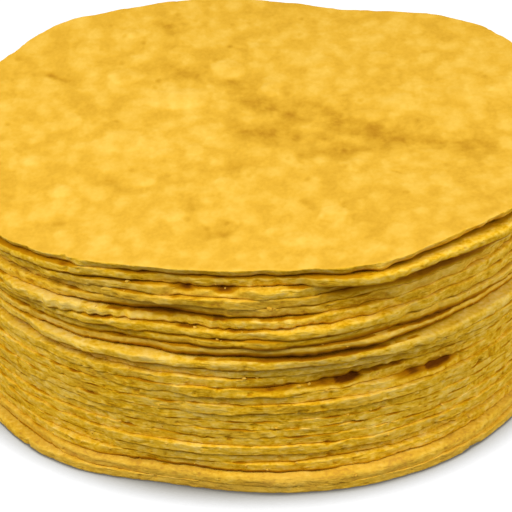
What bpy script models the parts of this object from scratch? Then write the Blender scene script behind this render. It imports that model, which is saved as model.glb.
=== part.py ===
"""A tall stack of soft yellow corn tortillas, lying flat on one another.

Metres, +Z up. Each tortilla is one closed disc with an uneven outline. Angles go round the stack from
its front (-Y), positive towards +X.
"""

import math
import random

import bmesh
import bpy
from mathutils import Vector

COUNT = 24
RADIUS = 0.0765
THICKNESS = 0.00195
CONTACT_GAP = 0.0003
RIM_UNDERCUT = 0.0005
SEGMENTS = 48
INNER_RING = 0.6
SEED = 11

# The stack leans: from this tortilla up, each gap is a wedge that is thicker on the +X side.
FIRST_LEANING = 9
LEAN_RISE = 0.0068

# How far an outline wanders: share of the radius for each number of waves round the rim.
# The lower tortillas, and the top one's own waves, are EVEN_SHARE as uneven as the rest.
WAVES = {2: 0.009, 3: 0.008, 4: 0.006, 5: 0.004, 6: 0.003, 7: 0.003}
WAVE_SPREAD = 0.6
RADIUS_SPREAD = 0.003
SHIFT_SPREAD = 0.0007
LAST_EVEN = 11
EVEN_SHARE = 0.4
UPPER_GROWTH = 0.014

# Slack that every gap has at the rim, as a few soft swells: half widths in degrees, height in metres.
SWELLS = 3
SWELL_WIDTHS = (35, 80)
SWELL_HEIGHTS = (0.00005, 0.00016)
SLACK_IN_MIDDLE = 0.6

# Gaps that stand open, by the tortilla below: (angle, half width) in degrees, height in metres.
OPENINGS = {
    1: [(-62, 32, 0.0005), (160, 90, 0.0004)],
    2: [(5, 60, 0.0005)],
    5: [(110, 50, 0.0004)],
    8: [(-120, 50, 0.0006)],
    12: [(27, 34, 0.0012), (-150, 45, 0.0007)],
    15: [(0, 85, 0.0009), (-155, 45, 0.0005)],
    17: [(-45, 50, 0.0006), (45, 45, 0.0007), (150, 35, 0.0004)],
    19: [(-17, 36, 0.0011), (100, 50, 0.0007), (-120, 45, 0.0006)],
    21: [(-80, 50, 0.0005), (-160, 40, 0.0006)],
    22: [(45, 55, 0.0008), (-25, 30, 0.0004)],
    23: [(50, 55, 0.0008), (-140, 50, 0.0004)],
}

# Where a rim sticks out (positive) or is set back: (angle, half width) in degrees, reach in metres.
LEDGES = {
    1: [(-62, 50, 0.0030), (-34, 20, 0.0026), (-20, 30, -0.0010), (0, 90, 0.0024), (32, 38, 0.0022),
        (75, 50, 0.0016), (170, 90, 0.0024)],
    2: [(-62, 50, 0.0010), (-32, 20, 0.0026), (30, 70, 0.0036), (170, 90, 0.0014)],
    3: [(-34, 18, 0.0018), (-16, 20, -0.0010), (20, 60, 0.0012)],
    6: [(150, 60, 0.0014)],
    12: [(27, 30, -0.0018)],
    13: [(22, 26, -0.0022), (-140, 50, -0.0012)],
    15: [(-34, 24, 0.0008), (2, 30, 0.0002), (30, 40, 0.0010), (50, 20, -0.0010)],
    16: [(-20, 16, -0.0008), (16, 22, 0.0018), (50, 24, -0.0018), (-100, 50, 0.0014)],
    17: [(-17, 20, -0.0014), (8, 22, 0.0010)],
    18: [(-10, 24, -0.0018), (14, 28, 0.0024)],
    19: [(-42, 15, 0.0020), (-16, 22, -0.0026), (8, 24, 0.0010), (26, 22, 0.0006), (120, 50, 0.0010)],
    20: [(-18, 28, -0.0028), (50, 26, -0.0014), (90, 50, -0.0010)],
    21: [(26, 18, 0.0008), (50, 50, 0.0004), (170, 40, -0.0010)],
    22: [(-34, 20, 0.0006), (8, 16, 0.0012), (60, 50, 0.0008), (-60, 50, 0.0012)],
    23: [(-8, 30, -0.0016), (19, 15, 0.0060), (29, 14, 0.0024), (38, 24, 0.0040), (58, 40, 0.0044),
         (-50, 40, 0.0018)],
}

# The top tortilla is less round than the rest: blunt corners and nearly straight edges between them.
TOP_SHIFT = (-0.0010, 0.0)
TOP_RADIUS = 0.0795
TOP_CORNERS = [
    (-5, 32, -0.0026),
    (21, 17, 0.0044),
    (42, 32, 0.0034),
    (-141, 20, 0.0028),
    (128, 30, 0.0040),
    (160, 28, -0.0052),
    (-154, 20, -0.0010),
    (146, 36, 0.0015),
]

COLOR = (0.80, 0.49, 0.06, 1.0)
ROUGHNESS = 0.85


def clear_scene():
    for obj in list(bpy.data.objects):
        bpy.data.objects.remove(obj, do_unlink=True)


def bump(angle, center, half_width):
    """1 at the center, falling smoothly to 0 at half_width on either side. Radians."""
    away = abs((angle - center + math.pi) % math.tau - math.pi)
    if away >= half_width:
        return 0.0
    return math.cos(0.5 * math.pi * away / half_width) ** 2


def total_of_bumps(angle, bumps):
    """The sum, at this angle, of bumps given as (angle, half width) in degrees and height in metres."""
    return sum(height * bump(angle, math.radians(center), math.radians(half_width))
               for center, half_width, height in bumps)


def make_swells(rng):
    """The slack of one gap: soft bumps at chance places round the rim."""
    return [(rng.uniform(-180, 180), rng.uniform(*SWELL_WIDTHS), rng.uniform(*SWELL_HEIGHTS))
            for _ in range(SWELLS)]


def make_gap(level, rng):
    """The gap above the tortilla called level."""
    bumps = make_swells(rng) + OPENINGS.get(level, [])
    around = [total_of_bumps(math.tau * step / SEGMENTS, bumps) for step in range(SEGMENTS)]
    return {
        "bumps": bumps,
        "middle": SLACK_IN_MIDDLE * sum(around) / SEGMENTS,
        "lean": LEAN_RISE / (COUNT - FIRST_LEANING) if level >= FIRST_LEANING else 0.0,
    }


def gap_height(gap, x, y):
    """Height of this gap at one place: the least gap, its slack and its share of the lean."""
    share = math.hypot(x, y) / RADIUS
    angle = math.atan2(x, -y)
    slack = gap["middle"] + (total_of_bumps(angle, gap["bumps"]) - gap["middle"]) * share ** 2
    return CONTACT_GAP + slack + 0.5 * gap["lean"] * (1 + x / RADIUS)


def underside(level, gaps, x, y):
    """Height of the lower face of the tortilla called level."""
    return sum(THICKNESS + gap_height(gap, x, y) for gap in gaps[:level - 1])


def make_outline(level, rng):
    """The outline of one tortilla: its shift, its radius, its waves and its ledges."""
    ease = EVEN_SHARE if level <= LAST_EVEN or level == COUNT else 1.0
    waves = [(count, rng.gauss(0, WAVE_SPREAD) * share * ease, rng.uniform(0, math.tau))
             for count, share in WAVES.items()]
    outline = {
        "shift": (rng.gauss(0, SHIFT_SPREAD) * ease, rng.gauss(0, SHIFT_SPREAD) * ease),
        "radius": RADIUS * (1 + rng.gauss(0, RADIUS_SPREAD) * ease + UPPER_GROWTH * level / COUNT),
        "waves": waves,
        "ledges": LEDGES.get(level, []),
    }
    if level == COUNT:
        outline["shift"] = TOP_SHIFT
        outline["radius"] = TOP_RADIUS
        outline["ledges"] = TOP_CORNERS
    return outline


def rim_radius(outline, angle):
    wander = sum(share * math.cos(count * angle + phase) for count, share, phase in outline["waves"])
    return outline["radius"] * (1 + wander) + total_of_bumps(angle, outline["ledges"])


def make_disc():
    """A round, flat disc of the full radius, turned from its half profile."""
    profile = [
        (0.0, 0.0),
        (INNER_RING * RADIUS, 0.0),
        (RADIUS, 0.0),
        (RADIUS, THICKNESS),
        (INNER_RING * RADIUS, THICKNESS),
        (0.0, THICKNESS),
    ]
    bm = bmesh.new()
    verts = [bm.verts.new((0.0, -x, z)) for x, z in profile]
    edges = [bm.edges.new(pair) for pair in zip(verts, verts[1:])]
    bmesh.ops.spin(bm, geom=verts + edges, cent=(0, 0, 0), axis=(0, 0, 1), dvec=(0, 0, 0),
                   angle=math.tau, steps=SEGMENTS, use_merge=True)
    bmesh.ops.remove_doubles(bm, verts=bm.verts, dist=1e-6)
    bmesh.ops.recalc_face_normals(bm, faces=bm.faces)
    return bm


def bend_disc(bm, level, outline, gaps):
    """Gives the disc its outline and lays it on the tortillas below it."""
    for vert in bm.verts:
        share = math.hypot(vert.co.x, vert.co.y) / RADIUS
        angle = math.atan2(vert.co.x, -vert.co.y)
        upper = vert.co.z > 0.5 * THICKNESS
        on_rim = share > 0.5 * (1 + INNER_RING)
        reach = rim_radius(outline, angle) * share
        if on_rim and not upper:
            reach -= RIM_UNDERCUT
        x = outline["shift"][0] + reach * math.sin(angle)
        y = outline["shift"][1] - reach * math.cos(angle)
        vert.co = (x, y, underside(level, gaps, x, y) + THICKNESS * upper)


def make_material(name):
    material = bpy.data.materials.new(name)
    material.use_nodes = True
    shader = material.node_tree.nodes["Principled BSDF"]
    shader.inputs["Base Color"].default_value = COLOR
    shader.inputs["Roughness"].default_value = ROUGHNESS
    shader.inputs["Metallic"].default_value = 0.0
    return material


def make_tortilla(level, outline, gaps):
    name = f"tortilla_{level:02d}"
    bm = make_disc()
    bend_disc(bm, level, outline, gaps)
    mesh = bpy.data.meshes.new(name)
    bm.to_mesh(mesh)
    bm.free()
    mesh.materials.append(make_material(name + "_masa"))
    mesh.shade_smooth()
    mesh.set_sharp_from_angle(angle=math.radians(40))
    tortilla = bpy.data.objects.new(name, mesh)
    bpy.context.scene.collection.objects.link(tortilla)
    return tortilla


def center_on_origin(objects):
    """Moves the meshes so that the middle of the stack's footprint is the origin."""
    points = [vert.co for obj in objects for vert in obj.data.vertices]
    middle = Vector((
        0.5 * (min(point.x for point in points) + max(point.x for point in points)),
        0.5 * (min(point.y for point in points) + max(point.y for point in points)),
        0.0,
    ))
    for obj in objects:
        for vert in obj.data.vertices:
            vert.co -= middle


def main():
    clear_scene()
    rng = random.Random(SEED)
    gaps = [make_gap(level, rng) for level in range(1, COUNT)]
    outlines = [make_outline(level, rng) for level in range(1, COUNT + 1)]
    stack = [make_tortilla(level, outline, gaps) for level, outline in enumerate(outlines, 1)]
    center_on_origin(stack)


main()
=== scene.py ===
# A tall stack of soft yellow corn tortillas, pressed flat on one another.
# Metres, +Z up. Angles go round the stack from its front (-Y), positive towards +X.

import math

import bmesh
import bpy
import numpy as np
from mathutils import Euler, Matrix, Vector, noise


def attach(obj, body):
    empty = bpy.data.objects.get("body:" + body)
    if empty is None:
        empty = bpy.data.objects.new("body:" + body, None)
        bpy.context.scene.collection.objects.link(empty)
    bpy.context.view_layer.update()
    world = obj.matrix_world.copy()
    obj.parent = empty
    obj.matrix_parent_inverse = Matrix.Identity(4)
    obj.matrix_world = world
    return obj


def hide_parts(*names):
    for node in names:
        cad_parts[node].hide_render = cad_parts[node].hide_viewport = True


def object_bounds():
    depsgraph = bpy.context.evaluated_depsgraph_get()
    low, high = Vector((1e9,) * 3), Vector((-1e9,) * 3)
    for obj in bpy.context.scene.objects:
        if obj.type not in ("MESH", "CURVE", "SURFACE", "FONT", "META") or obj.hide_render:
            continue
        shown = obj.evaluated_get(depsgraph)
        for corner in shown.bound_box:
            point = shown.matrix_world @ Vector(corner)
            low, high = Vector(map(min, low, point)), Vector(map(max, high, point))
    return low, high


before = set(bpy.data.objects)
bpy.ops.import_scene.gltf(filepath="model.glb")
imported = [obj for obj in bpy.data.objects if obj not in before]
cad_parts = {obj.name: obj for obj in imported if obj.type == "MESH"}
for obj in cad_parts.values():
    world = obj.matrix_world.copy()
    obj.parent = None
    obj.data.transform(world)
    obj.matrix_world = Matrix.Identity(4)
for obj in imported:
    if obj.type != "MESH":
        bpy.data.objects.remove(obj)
cadLow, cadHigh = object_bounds()
print("stack: frame loaded")

tau = math.tau
mm = 0.001


# Reading the frame: each tortilla's outline and the height of its two faces, as smooth formulas.

plan = {
    "outlineWaves": 18,  # waves round the rim that an outline follows
    "heightWaves": 11,
    "rimShare": 0.8,  # past this share of the radius a corner of a CAD node is on its rim
    "mergeWithin": 0.01 * mm,
}


def waveTerms(angles, waves):
    terms = [np.ones_like(angles)]
    for count in range(1, waves + 1):
        terms += [np.cos(count * angles), np.sin(count * angles)]
    return np.stack(terms, axis=-1)


def heightTerms(x, y):
    # a tilted plane, then a bowl whose depth changes round the rim
    share = np.hypot(x, y) / stackRadius
    plane = np.stack([np.ones_like(x), x, y], axis=-1)
    bowl = share[:, None] ** 2 * waveTerms(np.arctan2(x, -y), plan["heightWaves"])
    return np.concatenate([plane, bowl], axis=-1)


def readDisc(node):
    merged = bmesh.new()
    merged.from_mesh(node.data)
    bmesh.ops.remove_doubles(merged, verts=merged.verts, dist=plan["mergeWithin"])
    merged.normal_update()
    points = np.array([vert.co for vert in merged.verts])
    facesUp = np.array([vert.normal.z > 0 for vert in merged.verts])
    merged.free()
    reach = np.hypot(points[:, 0], points[:, 1])
    angles = np.arctan2(points[:, 0], -points[:, 1])
    rim = facesUp & (reach > plan["rimShare"] * reach.max())
    waves = waveTerms(angles[rim], plan["outlineWaves"])
    disc = {"outline": np.linalg.lstsq(waves, reach[rim], rcond=None)[0]}
    for side, chosen in (("top", facesUp), ("under", ~facesUp)):
        terms = heightTerms(points[chosen, 0], points[chosen, 1])
        disc[side] = np.linalg.lstsq(terms, points[chosen, 2], rcond=None)[0]
    return disc


stackRadius = 0.25 * (cadHigh.x - cadLow.x + cadHigh.y - cadLow.y)
nodeNames = sorted(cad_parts)
discs = [readDisc(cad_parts[name]) for name in nodeNames]
topLevel = len(discs)
print(f"stack: {topLevel} tortillas read")


# The pile. A tortilla's level is its place in it, and a gap has the level of the tortilla below it.

pile = {
    "firstLoose": 11,  # up to this level everything is pressed tight
    "fullyLoose": 16,
    # steps round a tortilla; each turned step is then cut into finer ones, which is much faster
    "turnedSteps": 180,
    "cuts": 5,
    "topCuts": 3,
}
roundSteps = pile["turnedSteps"] * (pile["cuts"] + 1)
topRoundSteps = pile["turnedSteps"] * (pile["topCuts"] + 1)


def smoothStep(value, low, high):
    share = np.clip((value - low) / (high - low), 0, 1)
    return share * share * (3 - 2 * share)


def looseness(level):
    return float(smoothStep(level, pile["firstLoose"], pile["fullyLoose"]))


def between(pair, loose):
    # the first of the pair for a pressed level, the second for a loose one
    return pair[0] + (pair[1] - pair[0]) * loose


def rowsFor(level, table):
    # what a table says of this level, which is the first entry of its rows
    return [row[1:] for row in table if row[0] == level]


def awayFrom(angles, center):
    return np.abs((angles - center + math.pi) % tau - math.pi)


def softBump(angles, center, half):
    # 1 at the centre, 0 past the half width; both in degrees
    away = awayFrom(angles, math.radians(center)) / math.radians(half)
    return np.cos(0.5 * math.pi * np.clip(away, 0, 1)) ** 2


# Chance lines round a rim.

def wavyLine(rng, angles, lengths, height, waves=28):
    # waves of lengths between these two, which together swing about this far
    chosen = np.exp(rng.uniform(math.log(lengths[0]), math.log(lengths[1]), waves))
    counts = np.round(tau * stackRadius / chosen)
    phases = rng.uniform(0, tau, waves)
    return height * np.cos(np.outer(angles, counts) + phases).sum(axis=1) / math.sqrt(waves / 2)


def chunkyLine(rng, angles, length, height, slope):
    # stretches of about this length, each a little in or out, with short slopes between them
    count = round(tau * stackRadius / length)
    ends = np.sort(rng.uniform(-math.pi, math.pi, count))
    heights = rng.normal(0, height, count)
    half = 0.5 * slope / stackRadius
    places = np.concatenate([ends - half, ends + half])
    values = np.concatenate([np.roll(heights, 1), heights])
    order = np.argsort(places)
    return np.interp(angles, places[order], values[order], period=tau)


def bitesLine(rng, angles, count, widths, depths):
    line = np.zeros_like(angles)
    for _ in range(count):
        away = awayFrom(angles, rng.uniform(-math.pi, math.pi))
        half = 0.5 * rng.uniform(*widths) / stackRadius
        depth = rng.uniform(*depths)
        line = np.maximum(line, depth * np.sqrt(np.clip(1 - (away / half) ** 2, 0, 1)))
    return line


def roughness(points, size, octaves, seed):
    shift = Vector((17.3 * seed, -9.1 * seed, 5.7 * seed))
    return np.array([noise.fractal(Vector(point) / size + shift, 0.9, 2.1, octaves) for point in points])


# The gaps between tortillas. Both neighbours follow the same middle surface.
# In the tables a level comes first, then an angle and a half width in degrees. Lengths are in mm.

gaps = {
    "seed": 5,
    "least": 0.02 * mm,
    "closed": 0.10 * mm,  # slack that the soft faces take up
    "closedSpread": 0.10 * mm,
    "closedLengths": (12 * mm, 70 * mm),
    "wander": 0.11 * mm,  # how far the contact lines wave up and down
    "wanderLengths": (9 * mm, 60 * mm),
    "ripple": 0.035 * mm,
    "rippleLengths": (2.5 * mm, 8 * mm),
    # shares of the radius between which the slack opens, and a slot
    "slackReach": (0.86, 0.98),
    "slotReach": (0.93, 0.985),
    # short slots at the rim, and their height
    "slots": [
        (11, 37, 6, 0.8), (11, 31, 8, 0.4), (12, 17.5, 4.5, 0.9), (12, 11, 7, 0.4), (12, 3, 8, 0.4),
        (12, 26, 4, -0.7), (15, 30, 40, 0.3), (15, -10, 25, 0.3), (16, 36, 20, 0.4), (16, -14, 9, 0.3),
        (18, -6, 3, 0.4), (18, 6, 4, 0.3), (19, -18, 15, 0.7), (19, -11, 6, 0.4), (19, 3, 4, 0.4),
        (19, 10, 3, 0.4), (20, 36, 20, 0.4), (20, 18, 8, 0.3), (21, 38, 20, 0.8), (22, 34, 22, 1.0),
        (22, -30, 5, 0.5), (22, -22, 4, 0.4), (22, -11.5, 3.5, 1.1), (22, -4.5, 3.5, 1.1),
        (22, 3, 3, 0.4), (22, 7.5, 3, 0.5), (2, -12, 18, 0.4), (1, -50, 16, 0.3), (8, -8, 3, 0.25),
        (5, 12, 4, 0.25), (3, -15, 4, 0.25),
    ],
    # holes where both lips are broken away, and their depth
    "hollows": [
        (12, 18, 4.5, 2.6), (12, 12.5, 7, 1.1), (12, 4, 10, 0.8), (11, 37, 7, 2.2), (11, 32, 9, 1.2),
        (22, -11.5, 3.5, 1.4), (22, -4.5, 3.5, 1.4), (19, -16, 12, 0.8),
    ],
    "hollowSpread": 0.1,
    "hollowLengths": (4 * mm, 12 * mm),
    "upperShare": 0.4,  # how much of a hollow's depth the tortilla above it loses
    # where a gap hangs lower than the pile around it, and how far
    "sags": [
        (12, 16, 9, 1.5), (12, 4, 9, 0.8), (11, 37, 6, 0.9), (11, 29, 6, 0.7), (22, -11, 5, 0.5),
        (22, -4.5, 5, 0.5), (16, 36, 24, 0.3),
    ],
    # how dark the painted shade in a crease is: its mean and how it varies, for a pressed gap and for a
    # loose one
    "creaseDarkness": (0.32, 0.46),
    "creaseSpread": (0.30, 0.30),
    "creaseLengths": (5 * mm, 40 * mm),
    "creaseWidth": 0.34 * mm,  # how far from the contact line a rim carries painted crease shade
    # stretches of darker painted crease shade: their darkness and added width
    "deepCreases": [
        (23, -46, 16, 0.7, 0.4), (23, -8, 22, 0.55, 0), (23, 8, 14, 0.7, 0), (23, 38, 20, 0.5, 0),
        (22, -44, 22, 0.7, 0.5), (22, -24, 8, 0.6, 0.2), (22, -11, 4, 1.0, 0.3),
        (22, -4.5, 4, 1.0, 0.3), (22, 3, 3, 0.7, 0.2), (22, 7.5, 3, 0.7, 0.2), (22, 34, 24, 1.0, 0.6),
        (21, 36, 30, 1.0, 2.0), (19, -16, 18, 1.0, 0.9), (19, 5, 12, 0.8, 0.3), (18, -5, 90, 0.5, 0.4),
        (17, -5, 90, 0.55, 0.5), (16, 20, 90, 0.85, 0.9), (16, 36, 26, 1.0, 0.3),
        (15, 20, 95, 0.95, 1.1), (14, -30, 70, 0.5, 0.4), (23, 0, 150, 0.6, 0.6), (12, 3, 9, 0.7, 0.5),
        (12, 16.5, 6, 0.9, 0.3), (11, 33, 5, 0.8, 0.2), (2, -10, 34, 0.9, 0.5), (1, -46, 14, 0.8, 0.4),
        (2, 34, 22, 0.6, 0.2), (3, 12, 20, 0.6, 0.2),
    ],
    # stretches where the painted crease shade hardly shows
    "faintCreases": [
        (1, 22, 58), (1, -16, 20), (23, -28, 6), (23, 21.5, 2), (20, 34, 22), (19, 36, 26), (18, 34, 24),
        (17, 38, 24), (21, 2, 12), (20, 0, 12),
    ],
    "faintness": 0.9,
}


def makeGap(level, rng):
    below, above = discs[level - 1], discs[level]
    ring = np.arange(roundSteps) * tau / roundSteps
    loose = looseness(level)
    wander = wavyLine(rng, ring, gaps["wanderLengths"], gaps["wander"])
    for center, half, drop in rowsFor(level, gaps["sags"]):
        wander -= drop * mm * softBump(ring, center, half)
    slots = np.zeros_like(ring)
    for center, half, height in rowsFor(level, gaps["slots"]):
        slots += height * mm * softBump(ring, center, half)
    # how dark the painted shade along this crease is
    creaseShade = wavyLine(rng, ring, gaps["creaseLengths"], between(gaps["creaseSpread"], loose))
    creaseShade += between(gaps["creaseDarkness"], loose)
    width = np.full_like(ring, gaps["creaseWidth"])
    for center, half, darkness, added in rowsFor(level, gaps["deepCreases"]):
        near = np.sqrt(softBump(ring, center, half))
        creaseShade = np.maximum(creaseShade, darkness * near)
        width += added * mm * near
    for center, half in rowsFor(level, gaps["faintCreases"]):
        creaseShade *= 1 - gaps["faintness"] * np.sqrt(softBump(ring, center, half))
    hollow = np.zeros_like(ring)
    for center, half, depth in rowsFor(level, gaps["hollows"]):
        hollow = np.maximum(hollow, depth * mm * softBump(ring, center, half))
    hollow *= 1 + wavyLine(rng, ring, gaps["hollowLengths"], gaps["hollowSpread"])
    return {
        "middle": 0.5 * (below["top"] + above["under"]),
        "slack": above["under"] - below["top"],
        "closed": gaps["closed"] + wavyLine(rng, ring, gaps["closedLengths"], gaps["closedSpread"]),
        "wander": wander + wavyLine(rng, ring, gaps["rippleLengths"], gaps["ripple"]),
        "slots": slots,
        "creaseShade": np.clip(creaseShade, 0, 1),
        "creaseWidth": width,
        "hollow": hollow,
    }


def gapAt(gap, terms, share, step):
    # the middle height of the gap, and how far it stands open
    wavy = gap["slack"].copy()
    wavy[:3] = 0  # the soft tortillas fill the even part of the slack
    edge = smoothStep(share, *gaps["slackReach"])
    slots = gap["slots"][step] * smoothStep(share, *gaps["slotReach"])
    openBy = np.maximum(terms @ wavy - gap["closed"][step] + slots, 0) * edge + gaps["least"]
    return terms @ gap["middle"] + edge * gap["wander"][step], openBy


# Every tortilla starts as a blank: a round disc of unit radius and unit thickness, turned from its
# half section.

blanks = {
    "faceShares": [0, 0.55, 0.8, 0.88, 0.92, 0.945, 0.96, 0.972],
    "topFaceRings": 104,
    "topFaceEnd": 0.98,
    "rimPoints": 16,
    "mergeWithin": 1e-5,
    "onRim": 0.9995,  # past this share of the radius a corner of a blank is on its rim
}


def halfSection(faceShares):
    last = blanks["rimPoints"] - 1
    under = [(share, 0.0) for share in blanks["faceShares"]]
    rim = [(1.0, 0.5 - 0.5 * math.cos(math.pi * point / last)) for point in range(last + 1)]
    return under + rim + [(share, 1.0) for share in reversed(faceShares)]


def topFaceShares():
    last = blanks["topFaceRings"] - 1
    return [blanks["topFaceEnd"] * ring / last for ring in range(last + 1)]


def runsRound(edge):
    near = blanks["mergeWithin"]
    first, second = (vert.co for vert in edge.verts)
    offAxis = first.xy.length > 10 * near
    return offAxis and abs(first.xy.length - second.xy.length) < near and abs(first.z - second.z) < near


def turnedDisc(profile, cuts):
    disc = bmesh.new()
    verts = [disc.verts.new((0, -share, lift)) for share, lift in profile]
    edges = [disc.edges.new(pair) for pair in zip(verts, verts[1:])]
    bmesh.ops.spin(disc, geom=verts + edges, cent=(0, 0, 0), axis=(0, 0, 1), dvec=(0, 0, 0),
                   angle=tau, steps=pile["turnedSteps"], use_merge=True)
    bmesh.ops.remove_doubles(disc, verts=disc.verts, dist=blanks["mergeWithin"])
    ringEdges = [edge for edge in disc.edges if runsRound(edge)]
    bmesh.ops.subdivide_edges(disc, edges=ringEdges, cuts=cuts)
    bmesh.ops.recalc_face_normals(disc, faces=disc.faces)
    return disc


# The rims. A loose rim, high in the stack, is rounder than a pressed one low down.
# A pair holds a pressed rim's value, then a loose one's. Lengths, widths and depths of chance lines
# are the least and the most.

rims = {
    "seed": 31,
    "thickness": 2.1 * mm,  # a soft tortilla's own, which its lips and crumbs are measured on
    "apart": 2.5 * mm,  # from one rim to the next in the noise that crumbles them
    "waves": (0.07 * mm, 0.20 * mm),
    "waveLengths": (9 * mm, 45 * mm),
    "ripples": (0.030 * mm, 0.040 * mm),
    "rippleLengths": (2 * mm, 8 * mm),
    "chunks": (0.05 * mm, 0.05 * mm),
    "chunkLength": 7 * mm,
    "chunkSlope": 1.5 * mm,
    # scalloped lips: level, angle and half width in degrees, height in mm
    "scallops": [(19, -20, 60, 0.22), (23, 10, 70, 0.08), (13, 20, 40, 0.12)],
    "scallopLengths": (2.5 * mm, 6 * mm),
    # how round the lips are
    "lips": (0.21 * mm, 0.78 * mm),
    "lipSpread": (0.40, 0.25),
    "lipLengths": (5 * mm, 40 * mm),
    "lowLipShare": 0.8,
    "faintLip": (0.35, 0.4),  # share of its size that a lip keeps where its painted crease shade is faint
    "creaseLip": (1.1, 0.85),  # what a dark painted crease shade adds to it
    "mostLip": 1.3 * mm,
    "mostLowLip": 1.0 * mm,
    "lowestLip": 0.5 * mm,
    # lips rounder or sharper than their neighbours': level, angle and half width in degrees, radius in mm
    "upperLips": [(1, 22, 58, 0.08), (1, -62, 34, 1.2), (2, 10, 75, 1.2)],
    "lowerLips": [(2, 22, 58, 0.08)],
    "retreat": (0.08 * mm, 0.30 * mm),  # how far the rim falls back from the upper lip to the lower one
    "retreatSpread": 0.10 * mm,
    "retreatLengths": (8 * mm, 50 * mm),
    "retreatCurve": 1.2,
    "bites": (14, 7),
    "biteWidths": (1.2 * mm, 4.0 * mm),
    "biteDepths": (0.08 * mm, 0.40 * mm),
    "cracks": (5, 2),
    "crackWidths": (0.9 * mm, 1.8 * mm),
    "crackDepths": (0.10 * mm, 0.30 * mm),
    # heights between which a bite and a hollow fade in, as shares of the thickness
    "biteFade": (0.25, 0.9),
    "hollowFade": (0.2, 0.85),
    "lowFade": (0.4, 0.95),  # down from the upper lip, for those in the lower lip
    "fadeStart": 0.9,  # share of the radius where the rim's shape begins to move the face
    "lumps": (0.065 * mm, 0.05 * mm),
    "lumpSize": 3.0 * mm,
    "streaks": (0.06 * mm, 0.02 * mm),  # level layers that crumbled away by different amounts
    "streakSize": (8 * mm, 8 * mm, 0.9 * mm),
    "pits": (0.26 * mm, 0.20 * mm),
    "pitSize": 2.0 * mm,
    # noise past the start makes a pit: this much one of the depth above, and no more than the most
    "pitStart": 0.42,
    "pitFull": 0.3,
    "pitMost": 0.6,
    "crumbsFrom": 0.1,  # share of the thickness above which crumbs stick to the rim
    # depth of a pit whose painted shade is full, and of a crack at which its painted shade starts and is
    # full
    "pitShows": 0.25 * mm,
    "crackShows": (0.1 * mm, 0.4 * mm),
    # the top tortilla's rim slopes far back, except where it is pressed down on the next one
    "topLip": 0.42 * mm,
    "topLipSpread": 0.2,
    "topRetreat": 1.2 * mm,
    "topRetreatSpread": 0.25 * mm,
    "topRetreatLengths": (6 * mm, 50 * mm),
    "topPressed": [(21.0, 2.6), (-30.5, 3.0)],
    "topBites": 0.4,
    "topNicks": [(-33.6, 0.9, 0.9), (20.6, 0.7, 0.7)],
}


def chanceBites(rng, ring, name, loose):
    count = round(between(rims[name + "s"], loose))
    return bitesLine(rng, ring, count, rims[name + "Widths"], rims[name + "Depths"])


def lipByCrease(creaseShade, loose):
    # a lip is rounder where the painted crease shade beside it is dark
    return between(rims["faintLip"], loose) + between(rims["creaseLip"], loose) * creaseShade


def makeRim(level, rng, ring):
    loose = looseness(level)
    outline = waveTerms(ring, plan["outlineWaves"]) @ discs[level - 1]["outline"]
    outline += wavyLine(rng, ring, rims["waveLengths"], between(rims["waves"], loose))
    outline += wavyLine(rng, ring, rims["rippleLengths"], between(rims["ripples"], loose))
    chunks = between(rims["chunks"], loose)
    outline += chunkyLine(rng, ring, rims["chunkLength"], chunks, rims["chunkSlope"])
    for center, half, height in rowsFor(level, rims["scallops"]):
        scallops = wavyLine(rng, ring, rims["scallopLengths"], height * mm)
        outline += softBump(ring, center, half) * scallops
    lipWaves = wavyLine(rng, ring, rims["lipLengths"], between(rims["lipSpread"], loose))
    lip = between(rims["lips"], loose) * np.exp(lipWaves)
    lowLip = rims["lowLipShare"] * lip
    retreat = wavyLine(rng, ring, rims["retreatLengths"], rims["retreatSpread"])
    retreat += between(rims["retreat"], loose)
    bites = chanceBites(rng, ring, "bite", loose)
    lowBites = chanceBites(rng, ring, "bite", loose)
    cracks = chanceBites(rng, ring, "crack", loose)
    hollow, lowHollow = np.zeros_like(ring), np.zeros_like(ring)
    if level < topLevel:
        above = gapList[level - 1]
        lip *= lipByCrease(above["creaseShade"], loose)
        hollow = above["hollow"]
    if level > 1:
        below = gapList[level - 2]
        picked = np.round(np.arange(len(ring)) * (roundSteps / len(ring))).astype(int) % roundSteps
        lowLip *= lipByCrease(below["creaseShade"][picked], loose)
        lowHollow = gaps["upperShare"] * below["hollow"][picked]
    if level == 1:
        lowLip = np.full_like(lip, rims["lowestLip"])
        retreat *= 0
    for line, name in ((lip, "upperLips"), (lowLip, "lowerLips")):
        for center, half, size in rowsFor(level, rims[name]):
            line += (size * mm - line) * np.sqrt(softBump(ring, center, half))
    if level == topLevel:
        lip = rims["topLip"] * np.exp(wavyLine(rng, ring, rims["lipLengths"], rims["topLipSpread"]))
        slope = wavyLine(rng, ring, rims["topRetreatLengths"], rims["topRetreatSpread"])
        pressed = sum(softBump(ring, center, half) for center, half in rims["topPressed"])
        retreat += (rims["topRetreat"] + slope) * (1 - pressed)
        bites *= rims["topBites"]
        for center, half, depth in rims["topNicks"]:
            bites += depth * mm * softBump(ring, center, half)
    return {
        "outline": outline,
        "lip": np.minimum(lip, rims["mostLip"]),
        "lowLip": np.minimum(lowLip, rims["mostLowLip"]),
        "retreat": retreat,
        "bites": bites,
        "lowBites": lowBites,
        "cracks": cracks,
        "hollow": hollow,
        "lowHollow": lowHollow,
        "loose": loose,
    }


def quarterRound(away, size):
    # how far a corner of this radius falls back, by the distance from the end of the rim
    left = np.clip(1 - away / size, 0, 1)
    return size * (1 - np.sqrt(1 - left ** 2))


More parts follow.
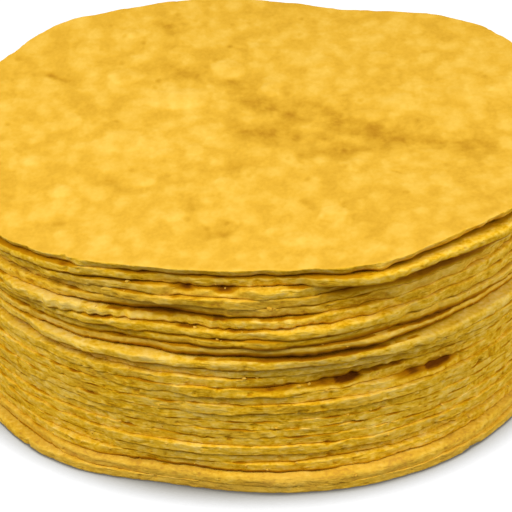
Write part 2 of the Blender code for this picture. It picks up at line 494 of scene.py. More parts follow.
def crumble(points, level, loose):
    # how far a rim's surface stands out or is worn away: lumps, level layers and pits
    lumps = roughness(points, rims["lumpSize"], octaves=3, seed=1 + 0.1 * level)
    streaks = roughness(points / rims["streakSize"], 1, octaves=2, seed=60)
    pits = roughness(points, rims["pitSize"], octaves=2, seed=80) - rims["pitStart"]
    pits = np.clip(pits, 0, rims["pitMost"]) * (between(rims["pits"], loose) / rims["pitFull"])
    worn = between(rims["lumps"], loose) * lumps + between(rims["streaks"], loose) * streaks - pits
    return worn, pits


def shapeRim(level, rim, at):
    # how far out each corner of a blank goes, then how hollow it is there and how much painted shade its
    # pits and cracks get
    lift, low, step, onRim = at["lift"], 1 - at["lift"], at["step"], at["onRim"]
    thick = rims["thickness"]
    bitten = rim["bites"][step] * smoothStep(lift, *rims["biteFade"])
    bitten += rim["lowBites"][step] * smoothStep(low, *rims["lowFade"]) + rim["cracks"][step]
    hollow = rim["hollow"][step] * smoothStep(lift, *rims["hollowFade"])
    hollow += rim["lowHollow"][step] * smoothStep(low, *rims["lowFade"])
    setBack = bitten + hollow + rim["retreat"][step] * low ** rims["retreatCurve"]
    reach = at["share"] * rim["outline"][step] - smoothStep(at["share"], rims["fadeStart"], 1) * setBack
    lips = quarterRound(low * thick, rim["lip"][step]) + quarterRound(lift * thick, rim["lowLip"][step])
    reach -= onRim * lips
    height = level * rims["apart"] + lift * thick
    points = np.stack([reach * at["sines"], -reach * at["cosines"], height], axis=-1)
    worn, pits = crumble(points[onRim], level, rim["loose"])
    reach[onRim] += worn
    # painted shade in pits and cracks
    pitShade = np.zeros_like(reach)
    pitShade[onRim] = np.clip(pits / rims["pitShows"], 0, 1)
    pitShade += onRim * smoothStep(rim["cracks"][step], *rims["crackShows"])
    return reach, hollow, pitShade


# The top tortilla's face: blisters, a shallow valley darkened with painted shade and small lumps, in
# millimetres.

topFace = {
    # shallow valleys, carved a little and darkened with painted shade: half width, strength, then the
    # points they run through
    "shallows": [
        (3.8, 0.6, (-27, 33), (-15, 30), (-4, 25)),
        (5.0, 0.8, (-1, 20), (3, 12.5), (10, 8.5), (19, 4.5), (25.5, -1), (34, -9.5)),
        (4.2, 0.7, (34, -9.5), (42.5, -12.5), (50, -14.5), (57, -19)),
        (4.6, 0.75, (-1.5, -3), (3, -2), (10, -8.5), (15, -12), (20, -16), (24, -15.5)),
        (2.2, 0.5, (-36, -27.5), (-29, -32)),
        (2.2, 0.5, (-4.5, -23.5), (2, -22)),
        (1.4, 0.6, (-54, 32.5), (-51, 30.5), (-45, 26.5)),
        (2.4, 0.5, (-23, 60), (-22, 57)),
        (2.6, 0.6, (-47, -48), (-45, -48.5)),
        (2.6, 0.4, (-60, 36), (-58, 34)),
        (2.0, 0.5, (-9, -58), (-6, -58)),
    ],
    "shallowDepth": 0.3,
    "shallowFade": 1.25,  # in half widths
    # middle x, middle y, half length, half width, turn in degrees, height
    "blisters": [
        (-18.5, 17, 9.2, 7.5, 0, 0.45), (-33, 30.5, 5.4, 6.0, 0, 0.35), (-6, 33.5, 5.0, 7.0, 0, 0.35),
        (5.5, 22.5, 3.6, 6.5, 0, 0.35), (38.5, 8.5, 5.0, 7.0, 0, 0.25), (37, -18.5, 3.6, 6.4, 0, 0.25),
        (25, -25, 2.6, 4.3, 0, 0.22), (20, -50.5, 3.8, 5.0, 0, 0.20), (-46.5, 6.5, 3.2, 5.8, 0, 0.20),
        (-33, -6, 6.4, 8.0, 0, 0.22), (-6, -32.5, 3.5, 4.8, 0, 0.18), (-54, -15.5, 3.8, 4.4, 0, 0.20),
        (-18, -48, 3.0, 4.2, 0, 0.18), (-14, -11.5, 2.6, 4.0, 0, 0.20), (3, 44, 4.4, 6.2, 0, 0.22),
        (18.5, 36, 4.8, 6.0, 0, 0.22), (35, 37, 3.8, 5.0, 0, 0.20), (-44, 48, 3.4, 4.5, 0, 0.20),
        (-46.5, -32, 3.4, 4.3, 0, 0.20), (46, -35.5, 3.4, 5.4, 0, 0.20), (11.5, -62, 3.8, 3.6, 0, 0.18),
        (54.5, 13.5, 3.2, 5.4, 0, 0.20),
    ],
    # chance ones fill the face up to this many in all
    "blisterCount": 120,
    "chanceRadius": (1.6, 5.0),
    "chanceHeight": 0.035,  # of their radius
    "chanceSpread": (0.4, 1.3),
    "chanceFlat": (0.6, 1),
    "apart": 0.75,  # least distance between two, as a share of their radii together
    "overlapping": 0.02,  # share of those closer than that which stay all the same
    "domeCurve": 1.5,
    # how pale a flat blister is, what each millimetre of height adds, and how soft its edge is
    "paleness": 0.3,
    "addedPaleness": 2.4,
    "paleEdge": 0.5,
    "lumps": 0.07,
    "lumpSize": 3.2,
    # how far outlines wobble, and over what length
    "wobble": 1.8,
    "wobbleSize": 4.5,
    # thin dark marks: from, to, half width
    "marks": [
        (40, 30, 39.5, 20, 0.5), (12.5, -18, 12.5, -25, 0.4), (13, -42, 14.5, -47, 0.4),
        (25, -52, 24.5, -57, 0.5), (43, -16, 44.5, -17, 0.8), (-64, 31, -62.5, 16, 0.35),
        (22.5, -45.5, 22.5, -47, 0.5), (-54, 32.5, -51, 31, 0.3), (-14.5, -37, -14, -44, 0.4),
        (-54, 33, -52.5, 32, 0.8), (-60, -33, -57, -35, 0.5), (35, -30, 37, -31, 0.4),
        (-5, 47, -3, 46, 0.4),
    ],
    "markFade": 1.8,  # in half widths
    "markDepth": 0.10,
    # faint rings: middle x, middle y, radius
    "rings": [(46, -16, 1.9), (8, -52, 1.9), (24, -55, 1.6), (52, -22, 1.8)],
    "ringWidth": 0.6,
    "ringStrength": 0.5,
    # share of the blank's radius where the relief ends, and over which it fades
    "reliefEnd": 1.005,
    "reliefFade": 0.03,
}


def distanceTo(path, x, y):
    best = np.full_like(x, 1e9)
    for (ax, ay), (bx, by) in zip(path, path[1:]):
        dx, dy = bx - ax, by - ay
        along = np.clip(((x - ax) * dx + (y - ay) * dy) / (dx ** 2 + dy ** 2), 0, 1)
        best = np.minimum(best, np.hypot(x - ax - along * dx, y - ay - along * dy))
    return best


def fading(distance, width):
    return np.exp(-(distance / width) ** 2)


def blisterList(rng):
    found = list(topFace["blisters"])
    small, large = topFace["chanceRadius"]
    while len(found) < topFace["blisterCount"]:
        x, y = rng.uniform(-stackRadius, stackRadius, 2) / mm
        radius = small + (large - small) * rng.random() ** 2
        clear = all(math.hypot(x - other[0], y - other[1]) > topFace["apart"] * (radius + other[2])
                    for other in found)
        if clear or rng.random() < topFace["overlapping"]:
            height = radius * topFace["chanceHeight"] * rng.uniform(*topFace["chanceSpread"])
            wide = radius * rng.uniform(*topFace["chanceFlat"])
            found.append((x, y, radius, wide, rng.uniform(0, 180), height))
    return found


def faceRelief(points, rng):
    # the top face's height in metres, then masks for its pale blisters, its valley's painted shade and its
    # dark marks
    x, y = points[:, 0] / mm, points[:, 1] / mm
    flat = np.stack([x, y, np.zeros_like(x)], axis=-1)
    x = x + topFace["wobble"] * roughness(flat, topFace["wobbleSize"], octaves=1, seed=3)
    y = y + topFace["wobble"] * roughness(flat, topFace["wobbleSize"], octaves=1, seed=4)
    domes, pale, valleyShade, marks = (np.zeros_like(x) for _ in range(4))
    for bx, by, long, wide, turn, height in blisterList(rng):
        turn = math.radians(turn)
        along = (x - bx) * math.cos(turn) + (y - by) * math.sin(turn)
        across = (y - by) * math.cos(turn) - (x - bx) * math.sin(turn)
        inside = np.clip(1 - (along / long) ** 2 - (across / wide) ** 2, 0, 1)
        domes = np.maximum(domes, height * inside ** topFace["domeCurve"])
        paleness = min(1, topFace["paleness"] + topFace["addedPaleness"] * height)
        pale = np.maximum(pale, smoothStep(inside, 0, topFace["paleEdge"]) * paleness)
    for half, strength, *path in topFace["shallows"]:
        near = fading(distanceTo(path, x, y) / half, topFace["shallowFade"])
        valleyShade = np.maximum(valleyShade, strength * near)
    for fromX, fromY, toX, toY, half in topFace["marks"]:
        away = distanceTo([(fromX, fromY), (toX, toY)], x, y)
        marks = np.maximum(marks, fading(away / half, topFace["markFade"]))
    for ringX, ringY, radius in topFace["rings"]:
        away = np.hypot(x - ringX, y - ringY) - radius
        marks = np.maximum(marks, topFace["ringStrength"] * fading(away, topFace["ringWidth"]))
    lumps = topFace["lumps"] * roughness(points, topFace["lumpSize"] * mm, octaves=3, seed=9)
    relief = domes - topFace["shallowDepth"] * valleyShade + lumps - topFace["markDepth"] * marks
    return relief * mm, pale, valleyShade, marks


# Making the tortillas. Each wears its looks as attributes that the material reads.

looks = {
    # lighter (positive) or darker stretches of the rims: level, angle and half width in degrees, amount
    "tones": [
        (23, 30, 90, -0.15), (23, -30, 60, 0.05), (22, -20, 60, -0.05), (21, 0, 80, -0.15),
        (20, -10, 60, -0.25), (20, 40, 40, -0.05), (19, -25, 55, 0.30), (19, 40, 40, -0.15),
        (18, 0, 90, 0.05), (18, 40, 30, -0.15), (17, -20, 50, -0.25), (17, 20, 40, 0.05),
        (16, -10, 90, 0.10), (15, 0, 90, 0.20), (14, 0, 80, 0.28), (13, 10, 60, -0.05),
        (12, 0, 90, -0.10), (1, 0, 110, -0.21), (2, 0, 110, -0.34),
    ],
    "toneSpread": 0.10,
    # browner, less yellow stretches
    "tans": [
        (1, 0, 110, 0.6), (2, 0, 110, 0.6), (16, 30, 90, 0.45), (16, -25, 40, 0.3), (20, -15, 40, 0.4),
        (21, -20, 50, 0.3), (17, 35, 25, 0.3), (20, 35, 20, 0.4), (22, -15, 20, 0.4),
    ],
    "tanSpread": 0.10,
    "stretchLengths": (15 * mm, 120 * mm),
    "stretchWaves": 12,
    "pressedTone": -0.04,
    "lipPaintedLight": 0.10,  # painted light: how much lighter a rim's upper half is than its lower half
    "lipHeights": (0.3, 0.9),
    # painted shade: faces under the next tortilla, creases along the lips, and hollows
    "paintedShadeFrom": (0.2 * mm, 2.2 * mm),  # how far under the next tortilla a face turns dark with painted shade
    "paintedShadeMost": 0.58,  # past this share of painted shade, only hollows, which are painted almost black
    "underInset": 1.5 * mm,
    "rimSpared": 1.5 * mm,
    # depths and shares of the radius over which the painted shade inside a hollow comes in
    "hollowDark": (0.2 * mm, 1.5 * mm),
    "hollowShares": (0.93, 0.97),
    "creasedMost": 0.85,
    "creaseFade": 0.7,
    "lowerCrease": 3 * mm,  # how far up from its lower lip a rim can carry painted crease shade
    "upperCrease": 0.45 * mm,  # how far down from its upper lip
    # how far inside the next tortilla's rim an upper lip takes painted crease shade; outside it where
    # negative
    "standsOut": (-0.6 * mm, 0.1 * mm),
    # a lip in the shade of a ledge higher up, darkened with painted shade, and how far down that shade
    # reaches
    "overhung": [(21, 36, 32)],
    "overhungCrease": 3 * mm,
    "topRimStart": 0.12,  # share of its thickness over which the top tortilla's face turns into its rim
}


def coordinates(mesh):
    found = np.empty(len(mesh.vertices) * 3, np.float32)
    mesh.vertices.foreach_get("co", found)
    return found.reshape(-1, 3).astype(float)


def placesOf(mesh, count):
    # where each corner of a blank is: share of the radius, share of the thickness, angle, step round
    base = coordinates(mesh)
    share = np.hypot(base[:, 0], base[:, 1])
    angles = np.arctan2(base[:, 0], -base[:, 1])
    return {
        "share": share,
        "lift": np.clip(base[:, 2], 0, 1),
        "angles": angles,
        "sines": np.sin(angles),
        "cosines": np.cos(angles),
        "step": np.round(angles / tau * count).astype(int) % count,
        "gapStep": np.round(angles / tau * roundSteps).astype(int) % roundSteps,
        "onRim": share > blanks["onRim"],
    }


def faceHeights(level, x, y, at):
    # the heights of the lower and the upper face
    terms = heightTerms(x, y)
    share = np.hypot(x, y) / stackRadius
    under, over = np.zeros_like(x), terms @ discs[level - 1]["top"]
    if level > 1:
        middle, openBy = gapAt(gapList[level - 2], terms, share, at["gapStep"])
        under = middle + 0.5 * openBy
    if level < topLevel:
        middle, openBy = gapAt(gapList[level - 1], terms, share, at["gapStep"])
        over = middle - 0.5 * openBy
    return under, over


def paintedShadeShare(level, ring, rim, at, reach, hollow):
    # painted shade at each corner: between two faces, in a crease or in a hollow
    lift, onRim = at["lift"], at["onRim"]
    fromAbove = np.full_like(reach, -1)
    if level < topLevel:
        nextRim = waveTerms(ring, plan["outlineWaves"]) @ discs[level]["outline"]
        fromAbove = nextRim[at["step"]] - reach
    fromOwn = rim["outline"][at["step"]] - reach
    inward = np.where(lift > 0.5, fromAbove, fromOwn - looks["underInset"]) - onRim * looks["rimSpared"]
    paintedShade = looks["paintedShadeMost"] * smoothStep(inward, *looks["paintedShadeFrom"])
    # painted crease shade runs along both lips, but not along one that sticks out from under the next
    # tortilla
    hidden = smoothStep(fromAbove, *looks["standsOut"])
    widest = np.full_like(reach, looks["upperCrease"])
    for center, half in rowsFor(level, looks["overhung"]):
        near = np.sqrt(softBump(at["angles"], center, half))
        hidden = np.maximum(hidden, near)
        widest += looks["overhungCrease"] * near
    lower, upper = (level - 1, lift, 1, looks["lowerCrease"]), (level, 1 - lift, hidden, widest)
    for gapLevel, away, shown, most in (lower, upper):
        if 1 <= gapLevel < topLevel:
            gap = gapList[gapLevel - 1]
            width = np.minimum(gap["creaseWidth"][at["gapStep"]], most)
            creaseShade = smoothStep(1 - away * rims["thickness"] / width, 0, looks["creaseFade"])
            creaseShade *= onRim * shown * gap["creaseShade"][at["gapStep"]]
            paintedShade = np.maximum(paintedShade, looks["creasedMost"] * creaseShade)
    # painted shade inside the hollows
    hollowShade = smoothStep(hollow, *looks["hollowDark"]) * smoothStep(at["share"], *looks["hollowShares"])
    return np.maximum(paintedShade, hollowShade)


def stretches(name, level, ring, rng):
    values = wavyLine(rng, ring, looks["stretchLengths"], looks[name + "Spread"], looks["stretchWaves"])
    for center, half, amount in rowsFor(level, looks[name + "s"]):
        values += amount * np.sqrt(softBump(ring, center, half))
    return values


def addObject(name, data):
    made = bpy.data.objects.new(name, data)
    bpy.context.scene.collection.objects.link(made)
    return made


def paint(mesh, name, values):
    layer = mesh.attributes.new(name, "FLOAT", "POINT")
    layer.data.foreach_set("value", np.asarray(values, np.float32))


def makeTortilla(level, rng, blank):
    top = level == topLevel
    count = topRoundSteps if top else roundSteps
    name = f"soft_tortilla_{level:02d}"
    mesh = bpy.data.meshes.new(name)
    blank.to_mesh(mesh)
    at = placesOf(mesh, count)
    lift, step, onRim = at["lift"], at["step"], at["onRim"]
    ring = np.arange(count) * tau / count
    rim = makeRim(level, rng, ring)
    reach, hollow, pitShade = shapeRim(level, rim, at)
    x, y = reach * at["sines"], -reach * at["cosines"]
    under, over = faceHeights(level, x, y, at)
    pale, valleyShade, marks = (np.zeros_like(x) for _ in range(3))
    if top:
        relief, pale, valleyShade, marks = faceRelief(np.stack([x, y, over], axis=-1), rng)
        over += relief * smoothStep(topFace["reliefEnd"] - at["share"], 0, topFace["reliefFade"])
    tone = stretches("tone", level, ring, rng) + looks["pressedTone"] * (1 - rim["loose"])
    # painted light: a rim's upper half lighter and its lower half darker, as lit from above
    paintedLipShading = looks["lipPaintedLight"] * (smoothStep(lift, *looks["lipHeights"]) - 0.5)
    tan = stretches("tan", level, ring, rng)
    onSide = onRim * smoothStep(1 - lift, 0, looks["topRimStart"]) if top else np.ones_like(x)
    onTop = lift > 0.999
    paint(mesh, "pale", pale * onTop)
    # painted shade along the shallow valleys
    paint(mesh, "valleyShade", valleyShade * (lift > 0.5))
    paint(mesh, "marks", marks * onTop)
    paint(mesh, "rim", onSide)
    # painted shade in pits and cracks
    paint(mesh, "pitShade", pitShade)
    # painted shade between faces, in creases and in hollows
    paint(mesh, "paintedShade", paintedShadeShare(level, ring, rim, at, reach, hollow))
    paint(mesh, "tone", (tone[step] + paintedLipShading) * (0 if top else 1))
    paint(mesh, "tan", tan[step] * (0 if top else 1))
    points = np.stack([x, y, under + lift * (over - under)], axis=-1)
    mesh.vertices.foreach_set("co", points.astype(np.float32).ravel())
    mesh.update()
    mesh.shade_smooth()
    # the side's points in a fixed order, since the corners of a turned blank come in none
    order = np.lexsort((lift, step))
    return addObject(name, mesh), points[order[(onRim & (lift > rims["crumbsFrom"]))[order]]]


# The one material: ground corn, pale on the faces, greener and grainier on the rims.

masa = {
    # colours of a face, from a dark mark to the palest blister, then those of a rim
    "faceColors": [
        (0.00, (0.40, 0.180, 0.008, 1)),
        (0.25, (0.55, 0.290, 0.018, 1)),
        (0.50, (0.665, 0.373, 0.032, 1)),
        (0.75, (0.735, 0.448, 0.062, 1)),
        (1.00, (0.785, 0.515, 0.095, 1)),
    ],
    "sideColors": [
        (0.00, (0.42, 0.185, 0.002, 1)),
        (0.25, (0.58, 0.315, 0.004, 1)),
        (0.50, (0.68, 0.405, 0.023, 1)),
        (0.75, (0.735, 0.475, 0.062, 1)),
        (1.00, (0.76, 0.530, 0.115, 1)),
    ],
    # painted shade colours, from a shallow crease to the inside of a hole
    "paintedShadeColors": [
        (0.00, (0.58, 0.300, 0.002, 1)),
        (0.70, (0.34, 0.130, 0.001, 1)),
        (0.85, (0.22, 0.075, 0.001, 1)),
        (1.00, (0.12, 0.032, 0.001, 1)),
    ],
    "paintedShadeFully": 0.35,
    "tan": (0.63, 0.378, 0.060, 1),
    "tanMost": 0.75,
    # where on its colours a face or a rim starts, then how far each thing moves it
    "faceTone": {
        "start": 0.42, "patches": 0.27, "broadPatches": 0.10, "grain": 0.10, "specks": -0.24,
        "broad": 0.12, "pale": 0.17, "valleyShade": -0.46, "marks": -0.15,
    },
    # the pit shade is painted shade in pits and cracks
    "sideTone": {
        "start": 0.40, "patches": 0.38, "streaks": -0.16, "grain": 0.40, "specks": -0.30,
        "broad": 0.24, "pitShade": -0.25, "tone": 0.55,
    },
    # the valley's painted shade is weakened to the first share where the broad patches reach the first
    # level
    "mottlingLevels": (0.70, 0.35),
    "mottlingShares": (0.75, 1),
    "patchScale": 230,
    "grainScale": 1000,
    "faceStretch": (1, 0.62, 1),
    "rimPatchScale": 420,
    "rimStretch": (1, 1, 1.8),
    "streakScale": 260,
    "streakStretch": (1, 1, 7),
    "streakShows": (0.44, 0.32),
    "broadScale": 55,
    "broadPatchScale": 150,
    "specular": 0.02,
    "roughness": (0.95, 0.78),
    "bumpDistance": 0.15 * mm,
    "faceHeight": 0.6,
    "streakHeight": -0.5,
}


def link(tree, value, socket):
    # a number is set on the socket itself
    if isinstance(value, bpy.types.NodeSocket):
        tree.links.new(value, socket)
    else:
        socket.default_value = value


def addNode(tree, kind, inputs, **settings):
    node = tree.nodes.new("ShaderNode" + kind)
    for name, value in settings.items():
        setattr(node, name, value)
    for name, value in inputs.items():
        link(tree, value, node.inputs[name])
    return node


def calculate(tree, operation, *values, limit=False):
    inputs = dict(enumerate(values))
    return addNode(tree, "Math", inputs, operation=operation, use_clamp=limit).outputs[0]


def rescale(tree, value, fromLow, fromHigh, toLow=0.0, toHigh=1.0):
    inputs = {"Value": value, "From Min": fromLow, "From Max": fromHigh, "To Min": toLow, "To Max": toHigh}
    return addNode(tree, "MapRange", inputs).outputs["Result"]


def centered(tree, noiseValue):
    # a noise as a swing of half a unit either way
    return rescale(tree, noiseValue, 0.3, 0.7, -0.5, 0.5)


def blend(tree, factor, first, second):
    inputs = {"Factor": factor, "A": first, "B": second}
    return addNode(tree, "Mix", inputs, data_type="RGBA").outputs["Result"]


def attribute(tree, name):
    return addNode(tree, "Attribute", {}, attribute_name=name).outputs["Fac"]


def cloud(tree, place, scale, detail, rough=0.6):
    inputs = {"Vector": place, "Scale": scale, "Detail": detail, "Roughness": rough}
    return addNode(tree, "TexNoise", inputs).outputs


def cells(tree, place, scale, feature="F1"):
    return addNode(tree, "TexVoronoi", {"Vector": place, "Scale": scale}, feature=feature).outputs


def vectorMath(tree, operation, first, second, socket=1):
    return addNode(tree, "VectorMath", {0: first, socket: second}, operation=operation).outputs[0]


def stretched(tree, place, scale):
    return addNode(tree, "Mapping", {"Vector": place, "Scale": scale}).outputs["Vector"]


def warped(tree, place, scale, amount):
    # the place pushed about by a soft noise, so that cells lose their straight sides
    noiseColor = cloud(tree, place, scale, 2, 0.5)["Color"]
    push = vectorMath(tree, "SUBTRACT", noiseColor, (0.5, 0.5, 0.5))
    push = vectorMath(tree, "SCALE", push, calculate(tree, "DIVIDE", amount, scale), "Scale")
    return vectorMath(tree, "ADD", push, place)


# Ground corn: small pale blisters, fine grain and small dark specks, with a height for bump.

meal = {
    "warp": 0.8,  # how far the cells behind the blisters are pushed about
    "unevenness": -0.9,
    "blisterLevels": (0.16, -0.30),
    # one speck a cell: the cells' scale as a share of the blisters', the distances at which a speck
    # starts and is full, and the chance values at which it begins to show and is full
    "speckScale": 0.9,
    "speckRadii": (0.24, 0.06),
    "speckChances": (0.45, 0.9),
    "blisterHeight": 0.6,
    "grainHeight": 0.4,
    "speckHeight": -0.4,
}


def makeGrainGroup():
    group = bpy.data.node_groups.new("corn_grain", "ShaderNodeTree")
    group.interface.new_socket("Vector", in_out="INPUT", socket_type="NodeSocketVector")
    for name in ("Patch Scale", "Grain Scale"):
        group.interface.new_socket(name, in_out="INPUT", socket_type="NodeSocketFloat")
    for name in ("Patches", "Grain", "Specks", "Height"):
        group.interface.new_socket(name, in_out="OUTPUT", socket_type="NodeSocketFloat")
    given = group.nodes.new("NodeGroupInput").outputs
    result = group.nodes.new("NodeGroupOutput").inputs
    place, patchScale = given["Vector"], given["Patch Scale"]
    blisters = cells(group, warped(group, place, patchScale, meal["warp"]), patchScale, "SMOOTH_F1")
    uneven = cloud(group, place, patchScale, 2, 0.5)["Fac"]
    patches = calculate(group, "MULTIPLY_ADD", uneven, meal["unevenness"], blisters["Distance"])
    patches = rescale(group, patches, *meal["blisterLevels"])
    grain = cloud(group, place, given["Grain Scale"], 2, 0.5)["Fac"]
    spots = cells(group, place, calculate(group, "MULTIPLY", patchScale, meal["speckScale"]))
    chance = addNode(group, "SeparateColor", {"Color": spots["Color"]}).outputs["Red"]
    strength = rescale(group, chance, *meal["speckChances"])
    specks = rescale(group, spots["Distance"], *meal["speckRadii"])
    specks = calculate(group, "MULTIPLY", specks, strength)
    height = calculate(group, "MULTIPLY", grain, meal["grainHeight"])
    height = calculate(group, "MULTIPLY_ADD", patches, meal["blisterHeight"], height)
    height = calculate(group, "MULTIPLY_ADD", specks, meal["speckHeight"], height)
    for name, value in (("Patches", patches), ("Grain", grain), ("Specks", specks), ("Height", height)):
        link(group, value, result[name])
    return group


def addGrain(tree, place, patchScale):
    inputs = {"Vector": place, "Patch Scale": patchScale, "Grain Scale": masa["grainScale"]}
    return addNode(tree, "Group", inputs, node_tree=grainGroup).outputs


def colorRamp(tree, value, stops):
    node = addNode(tree, "ValToRGB", {"Fac": value})
    elements = node.color_ramp.elements
    for position, _ in stops[2:]:
        elements.new(position)
    for element, (position, color) in zip(elements, stops):
        element.position = position
        element.color = color
    return node.outputs["Color"]


def toneOf(tree, amounts, parts):
    total = amounts["start"]
    for name, part in parts.items():
        total = calculate(tree, "MULTIPLY_ADD", part, amounts[name], total)
    return total


def makeMasa():
    material = bpy.data.materials.new("corn_masa")
    material.use_nodes = True
    tree = material.node_tree
    shader = tree.nodes["Principled BSDF"]
    shader.inputs["Specular IOR Level"].default_value = masa["specular"]
    place = addNode(tree, "TexCoord", {}).outputs["Object"]
    face = addGrain(tree, stretched(tree, place, masa["faceStretch"]), masa["patchScale"])
    side = addGrain(tree, stretched(tree, place, masa["rimStretch"]), masa["rimPatchScale"])
    broad = centered(tree, cloud(tree, place, masa["broadScale"], 2)["Fac"])
    broadPatches = cloud(tree, place, masa["broadPatchScale"], 2, 0.5)["Fac"]
    mottling = rescale(tree, broadPatches, *masa["mottlingLevels"], *masa["mottlingShares"])
    streaks = cloud(tree, stretched(tree, place, masa["streakStretch"]), masa["streakScale"], 2, 0.5)
    streaks = rescale(tree, streaks["Fac"], *masa["streakShows"])
    faceTone = toneOf(tree, masa["faceTone"], {
        "patches": face["Patches"],
        "broadPatches": centered(tree, broadPatches),
        "grain": centered(tree, face["Grain"]),
        "specks": face["Specks"],
        "broad": broad,
        "pale": attribute(tree, "pale"),
        "valleyShade": calculate(tree, "MULTIPLY", attribute(tree, "valleyShade"), mottling),
        "marks": attribute(tree, "marks"),
    })
    sideTone = toneOf(tree, masa["sideTone"], {
        "patches": side["Patches"],
        "streaks": streaks,
        "grain": centered(tree, side["Grain"]),
        "specks": side["Specks"],
        "broad": broad,
        "pitShade": attribute(tree, "pitShade"),
        # the tone holds painted light: rims lighter on their upper halves
        "tone": attribute(tree, "tone"),
    })

    rim = attribute(tree, "rim")
    faceColor = colorRamp(tree, faceTone, masa["faceColors"])
    color = blend(tree, rim, faceColor, colorRamp(tree, sideTone, masa["sideColors"]))
    tan = calculate(tree, "MULTIPLY", attribute(tree, "tan"), masa["tanMost"], limit=True)
    color = blend(tree, tan, color, masa["tan"])
    # painted shade: creases, faces under the next tortilla and hollows darkened
    paintedShade = attribute(tree, "paintedShade")
    dark = colorRamp(tree, paintedShade, masa["paintedShadeColors"])
    color = blend(tree, rescale(tree, paintedShade, 0, masa["paintedShadeFully"]), color, dark)
    link(tree, color, shader.inputs["Base Color"])
    rough = rescale(tree, face["Grain"], 0.3, 0.7, *masa["roughness"])
    link(tree, rough, shader.inputs["Roughness"])

    faceHeight = calculate(tree, "MULTIPLY", face["Height"], masa["faceHeight"])
    sideHeight = calculate(tree, "MULTIPLY_ADD", streaks, masa["streakHeight"], side["Height"])
    difference = calculate(tree, "SUBTRACT", sideHeight, faceHeight)
    height = calculate(tree, "MULTIPLY_ADD", rim, difference, faceHeight)
    bump = addNode(tree, "Bump", {"Distance": masa["bumpDistance"], "Height": height})
    link(tree, bump.outputs["Normal"], shader.inputs["Normal"])
    return material


# Crumbs stuck to the rims.

crumbs = {
    "seed": 41,
    # the ones that stand out: level, angle in degrees, radius in mm
    "chosen": [
        (20, 3, 0.8), (20, 4, 0.6), (20, 5, 0.5), (13, -1.5, 0.55), (13, 1, 0.6), (18, -10, 0.5),
        (12, 9, 0.6), (12, 11, 0.45), (11, 14, 0.5), (13, -22, 0.5), (6, -24, 0.5), (22, -22, 0.6),
        (17, -6, 0.45), (16, 12, 0.4), (8, 18, 0.45), (3, 8, 0.45),
    ],
    "near": 0.6,  # degrees to either side in which the highest point of the rim holds the crumb
    # small ones at chance places
    "count": 220,
    "sizes": (0.16 * mm, 0.42 * mm),
    "turn": 0.5,
    "flatness": (0.45, 0.9),
    "unevenness": (0.75, 1.25),
    "sides": (7, 5),
}


def addCrumb(mesh, rng, place, size):
    turn = Euler(rng.uniform(-crumbs["turn"], crumbs["turn"], 3), "XYZ").to_matrix().to_4x4()
    wide, high = size * rng.uniform(*crumbs["flatness"], 2)
    around, up = crumbs["sides"]
    matrix = Matrix.Translation(place) @ turn @ Matrix.Diagonal((size, wide, high, 1))
    made = bmesh.ops.create_uvsphere(mesh, u_segments=around, v_segments=up, radius=1, matrix=matrix)
    middle = Vector(place)
    for vert in made["verts"]:
        vert.co = middle + (vert.co - middle) * rng.uniform(*crumbs["unevenness"])


def makeCrumbs(sides):
    rng = np.random.default_rng(crumbs["seed"])
    mesh = bmesh.new()
    for level, angle, size in crumbs["chosen"]:
        side = sides[level - 1]
        away = awayFrom(np.arctan2(side[:, 0], -side[:, 1]), math.radians(angle))
        near = side[away < math.radians(crumbs["near"])]
        addCrumb(mesh, rng, near[np.argmax(near[:, 2])], size * mm)
    for _ in range(crumbs["count"]):
        side = sides[rng.integers(1, topLevel - 1)]
        addCrumb(mesh, rng, side[rng.integers(len(side))], rng.uniform(*crumbs["sizes"]))
    data = bpy.data.meshes.new("crumbs")
    mesh.to_mesh(data)
    mesh.free()
    data.shade_smooth()
    return addObject("crumbs", data)


# Studio: a white floor that glows, with a painted contact shadow at the foot of the stack, a soft sky and
# two soft lights.

studio = {
    "elevation": 30,
    "distance": 0.608,
    "lens": 163.7,
    "aim": (0.509, 0.4603, 0.366),  # shares of the stack's box
    "floorSize": 6,
    "contactShadow": 16 * mm,
    # how open the floor is where its glow and its whiteness start and end; the dimmer, warmer glow near
    # the stack is a painted shadow
    "floorOpen": (0.50, 0.88),
    "floorGlow": (0.16, 1.12),
    "whiteOpen": (0.50, 0.80),
    "shadowTint": (1, 0.93, 0.77, 1),
    "white": (1, 1, 1, 1),
    "sky": 0.42,
    "ground": 0.29,
    "horizon": (-0.25, -0.02),
    "backdrop": 1.2,
    # azimuth from the front, elevation, distance, size, watts
    "lights": {
        "key": (-50, 49, 0.9, 0.55, 6.9),
        "fill": (68, 36, 0.9, 0.50, 5.2),
    },
}


def makeCamera():
    lens = bpy.data.cameras.new("camera")
    lens.lens = studio["lens"]
    lens.clip_start = 0.01
    camera = addObject("camera", lens)
    size = cadHigh - cadLow
    aim = cadLow + Vector(share * length for share, length in zip(studio["aim"], size))
    tilt = math.radians(studio["elevation"])
    camera.location = aim + studio["distance"] * Vector((0, -math.cos(tilt), math.sin(tilt)))
    camera.rotation_euler = (math.pi / 2 - tilt, 0, 0)
    bpy.context.scene.camera = camera


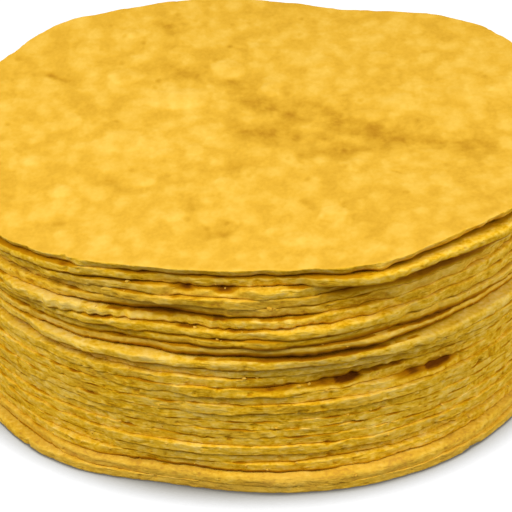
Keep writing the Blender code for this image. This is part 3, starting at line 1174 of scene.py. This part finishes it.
def makeFloor():
    grid = bmesh.new()
    bmesh.ops.create_grid(grid, x_segments=1, y_segments=1, size=studio["floorSize"])
    mesh = bpy.data.meshes.new("floor")
    grid.to_mesh(mesh)
    grid.free()
    material = bpy.data.materials.new("floor_white")
    material.use_nodes = True
    tree = material.node_tree
    # painted contact shadow: the glow dims and warms where the stack closes the floor in
    openness = addNode(tree, "AmbientOcclusion", {"Distance": studio["contactShadow"]}).outputs["AO"]
    whiteness = rescale(tree, openness, *studio["whiteOpen"])
    for name, value in {
        "Base Color": (0, 0, 0, 1),
        "Roughness": 1.0,
        "Specular IOR Level": 0.0,
        "Emission Strength": rescale(tree, openness, *studio["floorOpen"], *studio["floorGlow"]),
        "Emission Color": blend(tree, whiteness, studio["shadowTint"], studio["white"]),
    }.items():
        link(tree, value, tree.nodes["Principled BSDF"].inputs[name])
    mesh.materials.append(material)
    floor = addObject("floor", mesh)
    floor.visible_diffuse = False


def makeWorld():
    # the sky lights the stack, and the camera sees a white backdrop instead
    world = bpy.data.worlds.new("studio")
    world.use_nodes = True
    tree = world.node_tree
    way = addNode(tree, "TexCoord", {}).outputs["Generated"]
    up = addNode(tree, "SeparateXYZ", {0: way}).outputs["Z"]
    strength = rescale(tree, up, *studio["horizon"], studio["ground"], studio["sky"])
    sky = tree.nodes["Background"]
    sky.inputs["Color"].default_value = studio["white"]
    link(tree, strength, sky.inputs["Strength"])
    backdrop = addNode(tree, "Background", {"Color": studio["white"], "Strength": studio["backdrop"]})
    seen = addNode(tree, "LightPath", {}).outputs["Is Camera Ray"]
    mix = addNode(tree, "MixShader", {"Fac": seen, 1: sky.outputs[0], 2: backdrop.outputs[0]})
    link(tree, mix.outputs[0], tree.nodes["World Output"].inputs["Surface"])
    bpy.context.scene.world = world


def makeLight(name, around, up, distance, size, watts):
    light = bpy.data.lights.new(name, "AREA")
    light.shape = "DISK"
    light.size = size
    light.energy = watts
    lamp = addObject(name, light)
    around, up = math.radians(around), math.radians(up)
    way = Vector((math.sin(around) * math.cos(up), -math.cos(around) * math.cos(up), math.sin(up)))
    lamp.location = distance * way
    lamp.rotation_euler = way.to_track_quat("Z", "Y").to_euler()


gapRng = np.random.default_rng(gaps["seed"])
gapList = [makeGap(level, gapRng) for level in range(1, topLevel)]
grainGroup = makeGrainGroup()
masaMaterial = makeMasa()
plainBlank = turnedDisc(halfSection(blanks["faceShares"]), pile["cuts"])
topBlank = turnedDisc(halfSection(topFaceShares()), pile["topCuts"])
rimRng = np.random.default_rng(rims["seed"])
sides = []
for level, nodeName in enumerate(nodeNames, 1):
    tortilla, side = makeTortilla(level, rimRng, topBlank if level == topLevel else plainBlank)
    tortilla.data.materials.append(masaMaterial)
    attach(tortilla, "root")
    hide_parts(nodeName)
    sides.append(side)
print("stack: tortillas made")

crumbPiece = makeCrumbs(sides)
crumbPiece.data.materials.append(masaMaterial)
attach(crumbPiece, "root")
print("stack: crumbs made")

makeCamera()
makeFloor()
makeWorld()
for lightName, lightValues in studio["lights"].items():
    makeLight(lightName, *lightValues)
print("stack: studio made")
bpy.context.scene.view_settings.view_transform = "Standard"
